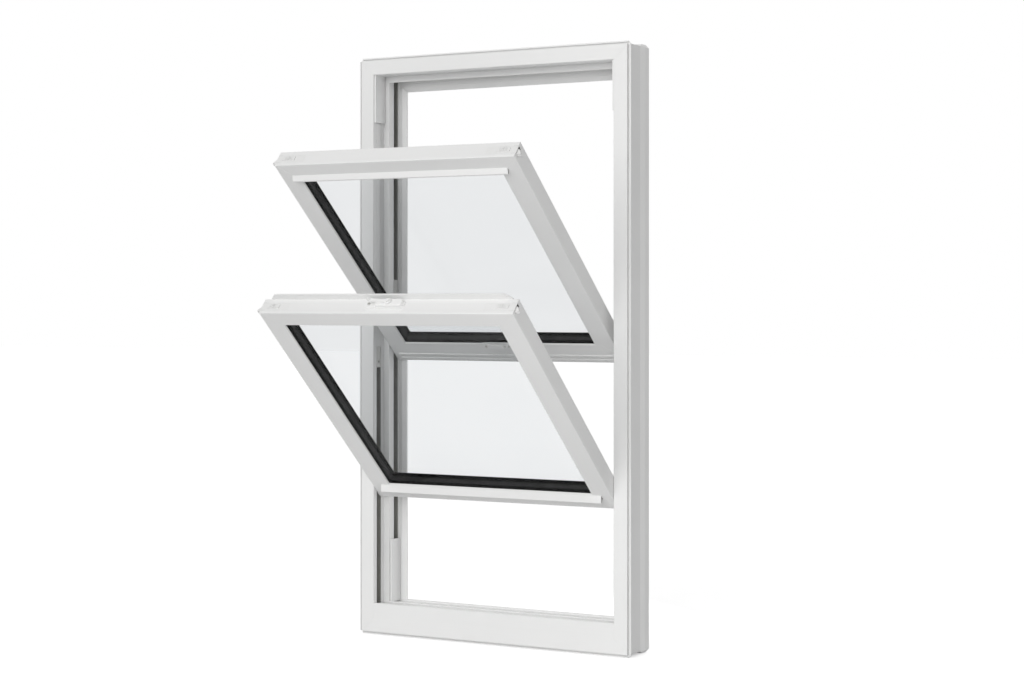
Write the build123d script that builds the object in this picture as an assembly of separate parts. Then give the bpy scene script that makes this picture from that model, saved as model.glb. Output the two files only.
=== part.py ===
from build123d import *
import math
import os

# Vinyl double hung window, both sashes part way along and tilted in.
#
# Lengths are in millimetres and angles in degrees. X runs across the window,
# Y runs from the room to the weather side and Z runs up. A depth is measured
# from the room face of the frame, and an offset from the outside of the
# frame towards the opening.

# Whole window
frame_width = 610.0
frame_height = 1168.0
frame_depth = 84.0

# Outside of the frame profile, the same on all four sides
plate_setback = 6.0
groove_depth = 7.0
lip_thickness = 2.6
lip_front = 3.5
lip_root = 9.5
body_setback = 5.0
flange_depth = 18.0
flange_slope = 12.0
corner_cut = 7.0

# Inside of the frame profile, stepping in towards the weather side
room_step = 35.0
parting_step = 47.5
weather_step = 64.0
stop_thickness = 7.0
stop_ledge = 55.0
stop_bevel = 3.5
plate_round = 1.2

# Head recess for the upper sash and stepped top of the sill
fin_thickness = 2.6
head_recess = 36.0
sill_height = 64.5
dam_thickness = 2.8
sill_tread = 61.5
sill_fall = 1.5
divider_height = 63.5

# Room left round the sashes when they stand upright in their tracks
head_gap = 2.0
room_play = 2.2
weather_play = 1.4
lower_side_gap = 0.5
upper_side_gap = 1.5
dam_clearance = 0.7
fin_clearance = 0.9

# Sashes, with bodies of the same height and a skirt below each
meeting_overlap = 39.5
stile_face = 42.0
lower_top_face = 35.0
lower_bottom_face = 31.5
lower_skirt = 12.0
upper_top_face = 43.0
upper_bottom_face = 30.0
upper_skirt = 26.0
skirt_thickness = 4.0
edge_radius = 2.0
edge_facets = 4
pile_groove_width = 4.0
pile_groove_depth = 2.5
pile_groove_place = 8.0

# Sealed glass unit, its spacer and its bead
face_leg = 2.8
leg_bevel = 1.5
rebate = 13.0
pane_thickness = 3.0
glass_clearance = 1.5
spacer_width = 9.0
spacer_radius = 5.0
bead_depth = 4.2
bead_reveal = 5.0
bead_slope = 3.0
bead_setback = 1.0

# Lift rail of the lower sash and pull rail of the upper sash
rail_skin = 2.4
lift_root = 29.5
lift_drop = 12.0
lift_reach = 11.0
lift_end_gap = 22.0
pull_root = 28.0
pull_drop = 11.0
pull_reach = 7.0
pull_end_gap = 26.0

# Interlocks where the two sashes meet
interlock_depth = 3.4
interlock_rise = 11.5
interlock_height = 24.0
interlock_end_gap = 13.0
rib_reach = 2.0
rib_height = 4.0
rib_drops = (2.0, 14.0)

# Tilt latches in the ends of both top rails
latch_length = 62.0
latch_width = 18.0
latch_depth = 9.0
latch_place = 16.0
latch_mouth = 9.0
latch_skin = 1.6
bolt_width = 11.5
bolt_height = 6.0
bolt_throw = 8.0
bolt_margin = 0.5
bolt_tip = 2.0
button_length = 26.0
button_width = 9.0
button_rise = 1.4
button_inset = 14.0
ridge_thickness = 1.6

# Pivot bars, the places where both sashes stand, and the balance shoes
lower_pivot_place = 16.5
lower_pivot_height = 7.5
lower_pivot_z = 303.6
lower_tilt = 48.0
upper_pivot_setback = 11.5
upper_pivot_height = 5.0
upper_pivot_z = 592.2
upper_tilt = 49.5
pivot_throw = 14.0
pivot_bar_width = 9.0
pivot_bar_height = 4.0
pivot_hold = 26.0
shoe_height = 34.0
shoe_clearance = 0.5
shoe_eye = 5.6

# Balance channels in the jambs, the coil balances and the covers
slot_width = 17.0
channel_width = 23.0
channel_reach = 20.0
channel_lip = 2.2
coil_height = 43.0
coil_gap = 2.0
coil_screw_height = 11.0
room_coil_z = 542.0
weather_coil_z = 677.0
screw_seat = 3.2
cover_thickness = 3.5
cover_wall = 1.4
cover_margin = 1.5
room_cover_length = 96.0
weather_cover_length = 128.0
weather_cover_setback = 4.5
slot_cover_gap = 0.6
slot_cover_clip = 1.2
slot_cover_hold = 1.8

# Sash lock on the lower sash and keeper on the upper sash
lock_length = 84.0
lock_width = 20.0
lock_base = 2.5
lock_place = 20.0
housing_start = -17.0
housing_end = 39.0
housing_width = 17.0
housing_height = 6.5
housing_corner = 5.0
housing_round = 2.0
lever_place = 11.0
lever_hub = 6.5
lever_length = 39.0
lever_width = 7.0
lever_thickness = 2.6
lever_turn = 4.0
knob_radius = 3.6
knob_height = 3.4
tab_height = 5.5
tab_thickness = 2.2
tab_lean = 25.0
keeper_length = 64.0
keeper_base = 2.0
keeper_above = 5.0
keeper_below = 10.0
keeper_corner = 2.5
keeper_bar = 35.0
keeper_reach = 7.5
keeper_skin = 2.5
keeper_foot = 6.0

# Every cutting shape passes the surface it cuts by this much
overcut = 1.0

half_width = frame_width / 2
flange_start = frame_depth - flange_depth
body_end = flange_start - flange_slope
weather_depth = frame_depth - stop_thickness
track_play = room_play + weather_play
sash_thickness = (weather_depth - dam_thickness - fin_thickness - track_play) / 2
parting_depth = dam_thickness + room_play + sash_thickness
lower_width = frame_width - 2 * (room_step + lower_side_gap)
upper_width = frame_width - 2 * (parting_step + upper_side_gap)
closed_height = frame_height - head_recess - head_gap - sill_tread - lower_skirt
sash_height = (closed_height + meeting_overlap) / 2
cavity = sash_thickness - face_leg - 2 * pane_thickness - bead_depth - bead_setback
upper_pivot_place = sash_thickness - upper_pivot_setback
room_slot_depth = dam_thickness + dam_clearance + lower_pivot_place
weather_slot_depth = parting_depth + fin_thickness + fin_clearance + upper_pivot_place
seat_depth = (flange_start + frame_depth) / 2
os.makedirs("parts", exist_ok=True)


def outline(points):
    return make_face(Polyline(*points, close=True))


def block(x0, x1, y0, y1, z0, z1):
    centre = Pos((x0 + x1) / 2, (y0 + y1) / 2, (z0 + z1) / 2)
    return centre * Box(x1 - x0, y1 - y0, z1 - z0)


def plate_xz(points, y0, y1):
    """Extrude an outline drawn in X and Z from depth y0 to depth y1."""
    face = Plane(origin=(0, y0, 0), x_dir=(1, 0, 0), z_dir=(0, -1, 0)) * outline(points)
    return extrude(face, amount=-(y1 - y0))


def bar_x(points, x0, x1):
    """Extrude a section drawn as (depth, height) along X."""
    return extrude(Plane.YZ.offset(x0) * outline(points), amount=x1 - x0)


def bar_z(points, z0, z1):
    """Extrude a section drawn as (across, depth) along Z."""
    return extrude(Plane.XY.offset(z0) * outline(points), amount=z1 - z0)


def mirrored(solid):
    return mirror(solid, about=Plane.YZ)


# Frame sections as (offset, depth)
outside = [
    (plate_setback, 0),
    (plate_setback, groove_depth),
    (lip_thickness, groove_depth),
    (lip_thickness, lip_front),
    (0, lip_front),
    (0, lip_root),
    (body_setback, lip_root),
    (body_setback, body_end),
    (0, flange_start),
    (0, frame_depth),
]
weather_stop = [
    (weather_step, frame_depth),
    (weather_step, weather_depth + stop_bevel),
    (stop_ledge, weather_depth),
]
plate_edge = [
    (room_step, plate_round),
    (room_step - plate_round, 0),
]
jamb_section = outside + weather_stop + [
    (parting_step, weather_depth),
    (parting_step, parting_depth),
    (room_step, parting_depth),
] + plate_edge
head_section = outside + weather_stop + [
    (head_recess, weather_depth),
    (head_recess, parting_depth + fin_thickness),
    (parting_step, parting_depth + fin_thickness),
    (parting_step, parting_depth),
    (room_step, parting_depth),
] + plate_edge
sill_section = outside + [
    (weather_step, frame_depth),
    (weather_step, weather_depth),
    (sill_tread - sill_fall, weather_depth),
    (sill_tread, parting_depth + fin_thickness),
    (divider_height, parting_depth + fin_thickness),
    (divider_height, parting_depth),
    (sill_tread, parting_depth),
    (sill_tread, dam_thickness),
    (sill_height, dam_thickness),
    (sill_height, plate_round),
    (sill_height - plate_round, 0),
]


def corner_wedges():
    """The four outer corners that are cleaned off after welding."""
    wedges = []
    for side in (-1, 1):
        for z, rise in ((0, 1), (frame_height, -1)):
            x = side * half_width
            points = [(x, z), (x - side * corner_cut, z), (x, z + rise * corner_cut)]
            wedges.append(plate_xz(points, -overcut, frame_depth + overcut))
    return wedges


def jamb_zone():
    """Everything nearer the left edge than the head or the sill."""
    reach = weather_step + overcut
    points = [
        (-half_width - overcut, -overcut),
        (-half_width + reach, reach),
        (-half_width + reach, frame_height - reach),
        (-half_width - overcut, frame_height + overcut),
    ]
    return plate_xz(points, -overcut, frame_depth + overcut)


def side_envelope():
    """The window's silhouette from the side, which trims the jambs."""
    bottom = [(depth, offset) for offset, depth in outside]
    top = [(depth, frame_height - offset) for offset, depth in reversed(outside)]
    return bar_x(bottom + top, -half_width - overcut, half_width + overcut)


def plan_envelope():
    """The window's silhouette from above, which trims the head and sill."""
    left = [(-half_width + offset, depth) for offset, depth in outside]
    right = [(half_width - offset, depth) for offset, depth in reversed(outside)]
    return bar_z(left + right, -overcut, frame_height + overcut)


def channel(step, slot_depth):
    """One balance channel of the left jamb with its slot."""
    wall = -half_width + step - channel_lip
    pocket = block(
        wall - channel_reach, wall,
        slot_depth - channel_width / 2, slot_depth + channel_width / 2,
        0, frame_height,
    )
    slot = block(
        wall - overcut, -half_width + step + overcut,
        slot_depth - slot_width / 2, slot_depth + slot_width / 2,
        0, frame_height,
    )
    return pocket + slot


def frame_members():
    left_full = bar_z([(-half_width + o, d) for o, d in jamb_section], 0, frame_height)
    left_full -= channel(room_step, room_slot_depth)
    left_full -= channel(parting_step, weather_slot_depth)
    head_full = bar_x(
        [(d, frame_height - o) for o, d in head_section], -half_width, half_width
    )
    sill_full = bar_x([(d, o) for o, d in sill_section], -half_width, half_width)
    zone = jamb_zone()
    solid_jamb = bar_z([(-half_width + o, d) for o, d in jamb_section], 0, frame_height)
    jamb_part = solid_jamb & zone
    left = left_full & side_envelope()
    left -= head_full - zone
    left -= sill_full - zone
    plan = plan_envelope()
    head = (head_full & plan) - jamb_part - mirrored(jamb_part)
    sill = (sill_full & plan) - jamb_part - mirrored(jamb_part)
    for wedge in corner_wedges():
        left -= wedge
        head -= wedge
        sill -= wedge
    return {
        "head": head,
        "sill": sill,
        "left_jamb": left,
        "right_jamb": mirrored(left),
    }


# Sashes are drawn upright with the room face at depth 0 and the bottom of the
# body at height 0, and set into the frame afterwards. Their sections are
# written as (offset from the sash edge, depth).
def glazing_side(face):
    """Room face, leg and rebate of a rail or stile."""
    return [
        (face - leg_bevel, 0),
        (face, leg_bevel),
        (face, face_leg),
        (face - rebate, face_leg),
        (face - rebate, sash_thickness),
    ]


def rounded_edge():
    """Outer corner of the room face, from the edge round to the face."""
    points = []
    for step in range(edge_facets + 1):
        turn = math.radians(90 * step / edge_facets)
        offset = edge_radius * (1 - math.cos(turn))
        depth = edge_radius * (1 - math.sin(turn))
        points.append((offset, depth))
    return points


def top_section(face):
    return glazing_side(face) + [(0, sash_thickness)] + rounded_edge()


def stile_section():
    """Stile with a groove for the pile strip in its weather face."""
    near = pile_groove_place - pile_groove_width / 2
    far = pile_groove_place + pile_groove_width / 2
    groove = [
        (far, sash_thickness),
        (far, sash_thickness - pile_groove_depth),
        (near, sash_thickness - pile_groove_depth),
        (near, sash_thickness),
    ]
    return glazing_side(stile_face) + groove + [(0, sash_thickness)] + rounded_edge()


def bottom_section(face, skirt):
    """Bottom rail whose room face runs down into a thin skirt."""
    return glazing_side(face) + [
        (0, sash_thickness),
        (0, skirt_thickness),
        (-skirt, skirt_thickness),
        (-skirt, leg_bevel),
        (leg_bevel - skirt, 0),
    ]


def stile_zone(width):
    """Everything nearer the left edge of a sash than its rails."""
    reach = stile_face
    points = [
        (-width / 2 - overcut, -overcut),
        (-width / 2 + reach, reach),
        (-width / 2 + reach, sash_height - reach),
        (-width / 2 - overcut, sash_height + overcut),
    ]
    return plate_xz(points, -sash_thickness, 2 * sash_thickness)


def sash_members(width, top_face, bottom_face, skirt):
    half = width / 2
    corners = [(0, 0), (sash_thickness, 0), (sash_thickness, sash_height)]
    rounded = [(d, sash_height - o) for o, d in rounded_edge()]
    envelope = bar_x(corners + rounded, -half, half)
    left_full = bar_z([(-half + o, d) for o, d in stile_section()], 0, sash_height)
    top_full = bar_x([(d, sash_height - o) for o, d in top_section(top_face)], -half, half)
    bottom_full = bar_x([(d, o) for o, d in bottom_section(bottom_face, skirt)], -half, half)
    zone = stile_zone(width)
    left = (left_full & envelope) - (top_full - zone) - (bottom_full - zone)
    return {
        "top_rail": top_full - zone - mirrored(zone),
        "bottom_rail": bottom_full - zone - mirrored(zone),
        "left_stile": left,
        "right_stile": mirrored(left),
    }


def sight_line(width, top_face, bottom_face, inset):
    """Half width, bottom and top of the clear glass, moved out by inset."""
    return (
        width / 2 - stile_face + inset,
        bottom_face - inset,
        sash_height - top_face + inset,
    )


def glass_unit(width, top_face, bottom_face):
    half, low, high = sight_line(width, top_face, bottom_face, rebate - glass_clearance)
    room = block(-half, half, face_leg, face_leg + pane_thickness, low, high)
    back = face_leg + pane_thickness + cavity
    weather = block(-half, half, back, back + pane_thickness, low, high)
    half, low, high = sight_line(width, top_face, bottom_face, spacer_width)
    start = face_leg + pane_thickness
    ring = block(-half, half, start, back, low, high)
    half, low, high = sight_line(width, top_face, bottom_face, 0)
    clear = block(-half, half, start - overcut, back + overcut, low, high)
    clear = fillet(clear.edges().filter_by(Axis.Y), spacer_radius)
    return room, weather, ring - clear


def glass_rectangle(rect, depth):
    half, low, high = rect
    plane = Plane(origin=(0, depth, (low + high) / 2), x_dir=(1, 0, 0), z_dir=(0, -1, 0))
    return plane * Rectangle(2 * half, high - low)


def glazing_bead(width, top_face, bottom_face):
    """Bead on the weather side, sloped back from the glass."""
    start = face_leg + 2 * pane_thickness + cavity
    end = sash_thickness - bead_setback
    half, low, high = sight_line(width, top_face, bottom_face, rebate)
    ring = block(-half, half, start, end, low, high)
    inner = sight_line(width, top_face, bottom_face, bead_reveal)
    outer = sight_line(width, top_face, bottom_face, bead_reveal + bead_slope)
    hole = loft([glass_rectangle(inner, start), glass_rectangle(outer, end)])
    return ring - hole


def finger_rail(half, root, drop, reach):
    """Sloped flange that stands off the room face, with its lower edge free."""
    tip = root - drop
    slope = math.degrees(math.atan2(drop, reach))
    back = rail_skin / math.sin(math.radians(slope))
    section = [
        (0, root),
        (-reach, tip + rail_skin),
        (-reach, tip),
        (-reach + rail_skin, tip),
        (0, root - back - rail_skin),
    ]
    return bar_x(section, -half, half)


def latch_recess(width):
    """Pocket for the right hand tilt latch, open at the top and the end."""
    return block(
        width / 2 - latch_length, width / 2 + overcut,
        latch_place - latch_width / 2, latch_place + latch_width / 2,
        sash_height - latch_depth, sash_height + overcut,
    )


def tilt_latch(width):
    """Right hand tilt latch: body, cover, thumb button with a ridge, and bolt."""
    half = width / 2
    start = latch_place - latch_width / 2
    end = latch_place + latch_width / 2
    mouth = half - latch_mouth
    floor = sash_height - latch_depth
    body = block(half - latch_length, mouth, start, end, floor, sash_height)
    cover = block(mouth, half, start, end, sash_height - latch_skin, sash_height)
    button = block(
        half - button_inset - button_length, half - button_inset,
        latch_place - button_width / 2, latch_place + button_width / 2,
        sash_height, sash_height + button_rise,
    )
    middle = half - button_inset - button_length / 2
    ridge = block(
        middle - ridge_thickness / 2, middle + ridge_thickness / 2,
        latch_place - button_width / 2, latch_place + button_width / 2,
        sash_height + button_rise, sash_height + 2 * button_rise,
    )
    near = start + bolt_margin
    far = near + bolt_width
    bolt_plan = [
        (mouth, near),
        (half + bolt_throw, near),
        (half + bolt_throw, near + bolt_tip),
        (half + bolt_tip, far),
        (mouth, far),
    ]
    bolt = bar_z(bolt_plan, floor + bolt_margin, floor + bolt_margin + bolt_height)
    return body + cover + button + ridge + bolt


def pivot_bar(width, place, height):
    """Right hand pivot bar, held in the bottom corner of the sash."""
    half = width / 2
    return block(
        half - pivot_hold, half + pivot_throw,
        place - pivot_bar_width / 2, place + pivot_bar_width / 2,
        height - pivot_bar_height / 2, height + pivot_bar_height / 2,
    )


def sash(width, faces, skirt, pivot):
    """All the upright pieces of one sash, keyed by their plain names."""
    top_face, bottom_face = faces
    pieces = sash_members(width, top_face, bottom_face, skirt)
    recess = latch_recess(width)
    for side, shape in (("right", recess), ("left", mirrored(recess))):
        pieces[side + "_stile"] -= shape
        pieces["top_rail"] -= shape
    for side, shape in (("right", pivot), ("left", mirrored(pivot))):
        pieces[side + "_stile"] -= shape
        pieces["bottom_rail"] -= shape
        pieces[side + "_pivot_bar"] = shape
    latch = tilt_latch(width)
    pieces["right_tilt_latch"] = latch
    pieces["left_tilt_latch"] = mirrored(latch)
    room, weather, spacer = glass_unit(width, top_face, bottom_face)
    pieces["room_pane"] = room
    pieces["weather_pane"] = weather
    pieces["glass_spacer"] = spacer
    pieces["glazing_bead"] = glazing_bead(width, top_face, bottom_face)
    return pieces


def lower_interlock():
    """Upstanding strip, its ends sloped, behind the lower sash's top rail."""
    half = lower_width / 2 - interlock_end_gap
    points = [
        (-half, sash_height - interlock_height),
        (half, sash_height - interlock_height),
        (half, sash_height),
        (half - interlock_rise, sash_height + interlock_rise),
        (interlock_rise - half, sash_height + interlock_rise),
        (-half, sash_height),
    ]
    return plate_xz(points, sash_thickness, sash_thickness + interlock_depth)


def upper_interlock():
    """Ribs along the room face of the upper sash's skirt."""
    half = upper_width / 2 - interlock_end_gap
    ribs = Part()
    for drop in rib_drops:
        ribs += block(-half, half, -rib_reach, 0, -drop - rib_height, -drop)
    return ribs


def sash_lock():
    """Base with rounded ends and housing, and the sweep lever above it."""
    base = extrude(SlotOverall(lock_length, lock_width), amount=lock_base)
    housing = extrude(
        RectangleRounded(housing_end - housing_start, housing_width, housing_corner),
        amount=housing_height,
    )
    housing = fillet(housing.edges().group_by(Axis.Z)[-1], housing_round)
    base += Pos((housing_start + housing_end) / 2, 0, lock_base) * housing
    hub = extrude(Circle(lever_hub), amount=lever_thickness)
    knob = extrude(Circle(knob_radius), amount=lever_thickness + knob_height)
    arm = extrude(SlotOverall(lever_length + lever_width, lever_width), amount=lever_thickness)
    tab = block(
        -tab_thickness / 2, tab_thickness / 2,
        -lever_width / 2, lever_width / 2, 0, lever_thickness + tab_height,
    )
    tab = Pos(-lever_length, 0, 0) * (Rotation(0, -tab_lean, 0) * tab)
    lever = hub + knob + Pos(-lever_length / 2, 0, 0) * arm + tab
    lever = Pos(lever_place, 0, lock_base + housing_height) * (Rotation(0, 0, -lever_turn) * lever)
    seat = Pos(0, lock_place, sash_height)
    return seat * base, seat * lever


def lock_keeper():
    """Keeper on the room face of the upper sash: plate and raised hook bar."""
    low = upper_bottom_face - keeper_below
    high = upper_bottom_face + keeper_above
    plate = block(-keeper_length / 2, keeper_length / 2, -keeper_base, 0, low, high)
    plate = fillet(plate.edges().filter_by(Axis.Y), keeper_corner)
    top = upper_bottom_face - leg_bevel
    bottom = top - keeper_foot
    section = [
        (-keeper_base, bottom),
        (-keeper_reach, bottom + keeper_skin),
        (-keeper_reach, high),
        (keeper_skin - keeper_reach, high),
        (keeper_skin - keeper_reach, top),
        (-keeper_base, top),
    ]
    return plate + bar_x(section, -keeper_bar / 2, keeper_bar / 2)


def set_sash(piece, place, height, tilt, depth, z):
    """Tilt an upright sash piece about its pivot, set at depth and height."""
    upright = Pos(0, -place, -height) * piece
    return Pos(0, depth, z) * (Rotation(tilt, 0, 0) * upright)


def channel_filler(step, slot_depth, z0, z1):
    """Left block that fits inside a balance channel."""
    wall = -half_width + step - channel_lip
    return block(
        wall - channel_reach + shoe_clearance, wall - shoe_clearance,
        slot_depth - channel_width / 2 + shoe_clearance,
        slot_depth + channel_width / 2 - shoe_clearance,
        z0, z1,
    )


def balance_shoe(step, slot_depth, z):
    """Left shoe around the pivot bar: a block with an eye for the bar."""
    body = channel_filler(step, slot_depth, z - shoe_height / 2, z + shoe_height / 2)
    eye = Cylinder(shoe_eye, channel_reach + overcut, rotation=(0, 90, 0))
    middle = -half_width + step - channel_lip - channel_reach / 2
    return body - Pos(middle, slot_depth, z) * eye


def coil_balance(step, slot_depth, z):
    """Left coil housing, fixed in the channel, with its screw seat."""
    wall = -half_width + step
    nose = block(
        wall - channel_lip - shoe_clearance, wall,
        slot_depth - slot_width / 2 + coil_gap, slot_depth + slot_width / 2 - coil_gap,
        z, z + coil_height,
    )
    seat = Cylinder(screw_seat, channel_reach, rotation=(0, 90, 0))
    seat = Pos(wall, slot_depth, z + coil_screw_height) * seat
    return channel_filler(step, slot_depth, z, z + coil_height) + nose - seat


def channel_cover(step, start, end, z0, z1):
    """Left channel cover: a shallow U that clips over the slot."""
    wall = -half_width + step
    outer = block(wall, wall + cover_thickness, start, end, z0, z1)
    hollow = block(
        wall - overcut, wall + cover_thickness - cover_wall,
        start + cover_wall, end - cover_wall, z0 - overcut, z1 + overcut,
    )
    return outer - hollow


def slot_cover(z0, z1):
    """Left strip that closes the room side slot flush, with a clip behind."""
    wall = -half_width + room_step
    reach = slot_width / 2 - slot_cover_gap
    face = block(
        wall - channel_lip, wall,
        room_slot_depth - reach, room_slot_depth + reach, z0, z1,
    )
    reach = slot_width / 2 + slot_cover_hold
    clip = block(
        wall - channel_lip - slot_cover_clip, wall - channel_lip,
        room_slot_depth - reach, room_slot_depth + reach, z0, z1,
    )
    return face + clip


def hardware():
    """Pieces of the left jamb, each mirrored to the right jamb."""
    left = {}
    left["room_shoe"] = balance_shoe(room_step, room_slot_depth, lower_pivot_z)
    left["weather_shoe"] = balance_shoe(parting_step, weather_slot_depth, upper_pivot_z)
    left["room_coil"] = coil_balance(room_step, room_slot_depth, room_coil_z)
    left["weather_coil"] = coil_balance(parting_step, weather_slot_depth, weather_coil_z)
    top = frame_height - room_step
    cover_end = top - room_cover_length
    left["room_track_cover"] = channel_cover(
        room_step, cover_margin + plate_round, parting_depth - cover_margin,
        cover_end, top,
    )
    left["weather_track_cover"] = channel_cover(
        parting_step, parting_depth + weather_cover_setback, weather_depth - cover_margin,
        sill_tread, sill_tread + weather_cover_length,
    )
    left["room_slot_cover"] = slot_cover(room_coil_z + coil_height, cover_end)
    pieces = {}
    for name, piece in left.items():
        pieces["left_" + name] = piece
        pieces["right_" + name] = mirrored(piece)
    return pieces


def lower_sash():
    pivot = pivot_bar(lower_width, lower_pivot_place, lower_pivot_height)
    pieces = sash(lower_width, (lower_top_face, lower_bottom_face), lower_skirt, pivot)
    half = lower_width / 2 - lift_end_gap
    pieces["bottom_rail"] += finger_rail(half, lift_root, lift_drop, lift_reach)
    pieces["top_rail"] += lower_interlock()
    pieces["lock_base"], pieces["lock_lever"] = sash_lock()
    return pieces


def upper_sash():
    pivot = pivot_bar(upper_width, upper_pivot_place, upper_pivot_height)
    pieces = sash(upper_width, (upper_top_face, upper_bottom_face), upper_skirt, pivot)
    half = upper_width / 2 - pull_end_gap
    pieces["top_rail"] += finger_rail(half, sash_height - pull_root, pull_drop, pull_reach)
    pieces["bottom_rail"] += upper_interlock()
    pieces["lock_keeper"] = lock_keeper()
    return pieces


def build():
    pieces = frame_members()
    pieces.update(hardware())
    for name, piece in lower_sash().items():
        pieces["lower_" + name] = set_sash(
            piece, lower_pivot_place, lower_pivot_height, lower_tilt,
            room_slot_depth, lower_pivot_z,
        )
    for name, piece in upper_sash().items():
        pieces["upper_" + name] = set_sash(
            piece, upper_pivot_place, upper_pivot_height, upper_tilt,
            weather_slot_depth, upper_pivot_z,
        )
    return pieces


for name, piece in build().items():
    export_step(Pos(0, -seat_depth, 0) * piece, "parts/" + name + ".step")
    print(name)
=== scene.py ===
import bpy
import math
from mathutils import Matrix, Vector


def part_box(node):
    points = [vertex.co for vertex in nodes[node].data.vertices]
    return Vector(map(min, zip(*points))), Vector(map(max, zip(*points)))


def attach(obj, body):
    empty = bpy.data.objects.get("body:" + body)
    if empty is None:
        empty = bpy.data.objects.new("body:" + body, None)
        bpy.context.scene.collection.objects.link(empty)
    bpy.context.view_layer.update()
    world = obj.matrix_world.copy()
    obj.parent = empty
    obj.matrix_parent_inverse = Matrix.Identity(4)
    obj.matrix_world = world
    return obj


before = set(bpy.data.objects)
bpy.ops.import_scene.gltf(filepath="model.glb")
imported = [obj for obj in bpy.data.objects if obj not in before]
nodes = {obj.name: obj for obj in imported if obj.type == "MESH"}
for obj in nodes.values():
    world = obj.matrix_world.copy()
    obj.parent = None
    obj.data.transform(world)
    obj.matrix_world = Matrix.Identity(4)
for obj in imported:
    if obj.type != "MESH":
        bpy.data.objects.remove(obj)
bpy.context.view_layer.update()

# White vinyl double hung window, both sashes part open and tilted into the room.
# Lengths are metres, in the same frame as the CAD nodes.
scene = bpy.context.scene
scene.view_settings.view_transform = "Standard"
mm = 0.001
sides = {"left": -1, "right": 1}  # the sign of x on each side
tracks = ("room", "weather")      # of the lower and the upper sash
print("frame loaded:", len(nodes), "nodes")


# camera
cameraSet = {
    "place": (1.95191, -3.50518, 0.67154),
    "turn": (math.radians(90), 0, math.radians(28.98)),
    "lens": 70.77,
    "sensor": 36,
    "shift": (-0.00078, -0.0376),
}
cameraData = bpy.data.cameras.new("camera")
cameraData.lens = cameraSet["lens"]
cameraData.sensor_width = cameraSet["sensor"]
cameraData.shift_x, cameraData.shift_y = cameraSet["shift"]
cameraObject = bpy.data.objects.new("camera", cameraData)
cameraObject.location = cameraSet["place"]
cameraObject.rotation_euler = cameraSet["turn"]
scene.collection.objects.link(cameraObject)
scene.camera = cameraObject


# lamps: a soft sun on each side of the window and two panels
sunColour = (1.0, 1.0, 0.995)
sunSet = {
    "roomLight": {"towards": (-0.05, -0.93, 0.30), "strength": 1.52, "spread": math.radians(55)},
    "rearLight": {"towards": (-0.35, 0.88, 0.32), "strength": 0.45, "spread": math.radians(120)},
}
panelSet = {
    # low on the right
    "sidePanel": {"place": (0.80, -1.35, 0.36), "aim": (0.05, -0.08, 0.35),
                  "size": (0.8, 0.8), "strength": 2.8},
    # behind the opening, for the inner walls of the jamb
    "backPanel": {"place": (0.12, 0.55, 0.58), "aim": (-0.27, 0.02, 0.58),
                  "size": (0.25, 1.1), "strength": 1.8},
}


def addLamp(name, data, towards):
    lamp = bpy.data.objects.new(name, data)
    lamp.rotation_euler = Vector(towards).to_track_quat("Z", "Y").to_euler()
    lamp.visible_camera = False
    lamp.visible_transmission = False
    scene.collection.objects.link(lamp)
    return lamp


for name, setup in sunSet.items():
    data = bpy.data.lights.new(name, "SUN")
    data.energy = setup["strength"]
    data.angle = setup["spread"]
    data.color = sunColour
    addLamp(name, data, setup["towards"])
for name, setup in panelSet.items():
    data = bpy.data.lights.new(name, "AREA")
    data.shape = "RECTANGLE"
    data.size, data.size_y = setup["size"]
    data.energy = setup["strength"]
    panel = addLamp(name, data, Vector(setup["place"]) - Vector(setup["aim"]))
    panel.location = setup["place"]
    panel.visible_glossy = False


# small helpers for node trees
def mathNode(tree, operation, first, second):
    node = tree.nodes.new("ShaderNodeMath")
    node.operation = operation
    for socket, value in zip(node.inputs, (first, second)):
        if isinstance(value, (int, float)):
            socket.default_value = value
        else:
            tree.links.new(value, socket)
    return node.outputs[0]


def timesAll(tree, masks):
    # 1 only where every mask is 1
    total = masks[0]
    for mask in masks[1:]:
        total = mathNode(tree, "MULTIPLY", total, mask)
    return total


def weighted(tree, first, firstShare, second, secondShare):
    firstPart = mathNode(tree, "MULTIPLY", first, firstShare)
    secondPart = mathNode(tree, "MULTIPLY", second, secondShare)
    return mathNode(tree, "ADD", firstPart, secondPart)


def swayed(tree, base, noise, amount):
    # the base value, moved up or down as the noise leaves its middle
    offMiddle = mathNode(tree, "SUBTRACT", noise, 0.5)
    return mathNode(tree, "ADD", base, mathNode(tree, "MULTIPLY", offMiddle, amount))


def noiseNode(tree, vector, scale, detail):
    node = tree.nodes.new("ShaderNodeTexNoise")
    node.inputs["Detail"].default_value = detail
    tree.links.new(vector, node.inputs["Vector"])
    if isinstance(scale, (int, float)):
        node.inputs["Scale"].default_value = scale
    else:
        tree.links.new(scale, node.inputs["Scale"])
    return node.outputs[0]


def patches(tree, vector, setup):
    # noise stretched about its middle and kept between 0 and 1
    node = tree.nodes.new("ShaderNodeMapRange")
    node.inputs["From Min"].default_value = 0.5 - setup["width"]
    node.inputs["From Max"].default_value = 0.5 + setup["width"]
    noise = noiseNode(tree, vector, setup["scale"], setup["detail"])
    tree.links.new(noise, node.inputs["Value"])
    return node.outputs[0]


def mixNode(tree, factor, first, second):
    node = tree.nodes.new("ShaderNodeMix")
    node.data_type = "RGBA"
    tree.links.new(factor, node.inputs[0])
    tree.links.new(first, node.inputs[6])
    tree.links.new(second, node.inputs[7])
    return node.outputs[2]


def plainColour(tree, colour):
    node = tree.nodes.new("ShaderNodeRGB")
    node.outputs[0].default_value = colour
    return node.outputs[0]


def splitVector(tree, vector):
    node = tree.nodes.new("ShaderNodeSeparateXYZ")
    tree.links.new(vector, node.inputs[0])
    return node.outputs


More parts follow.
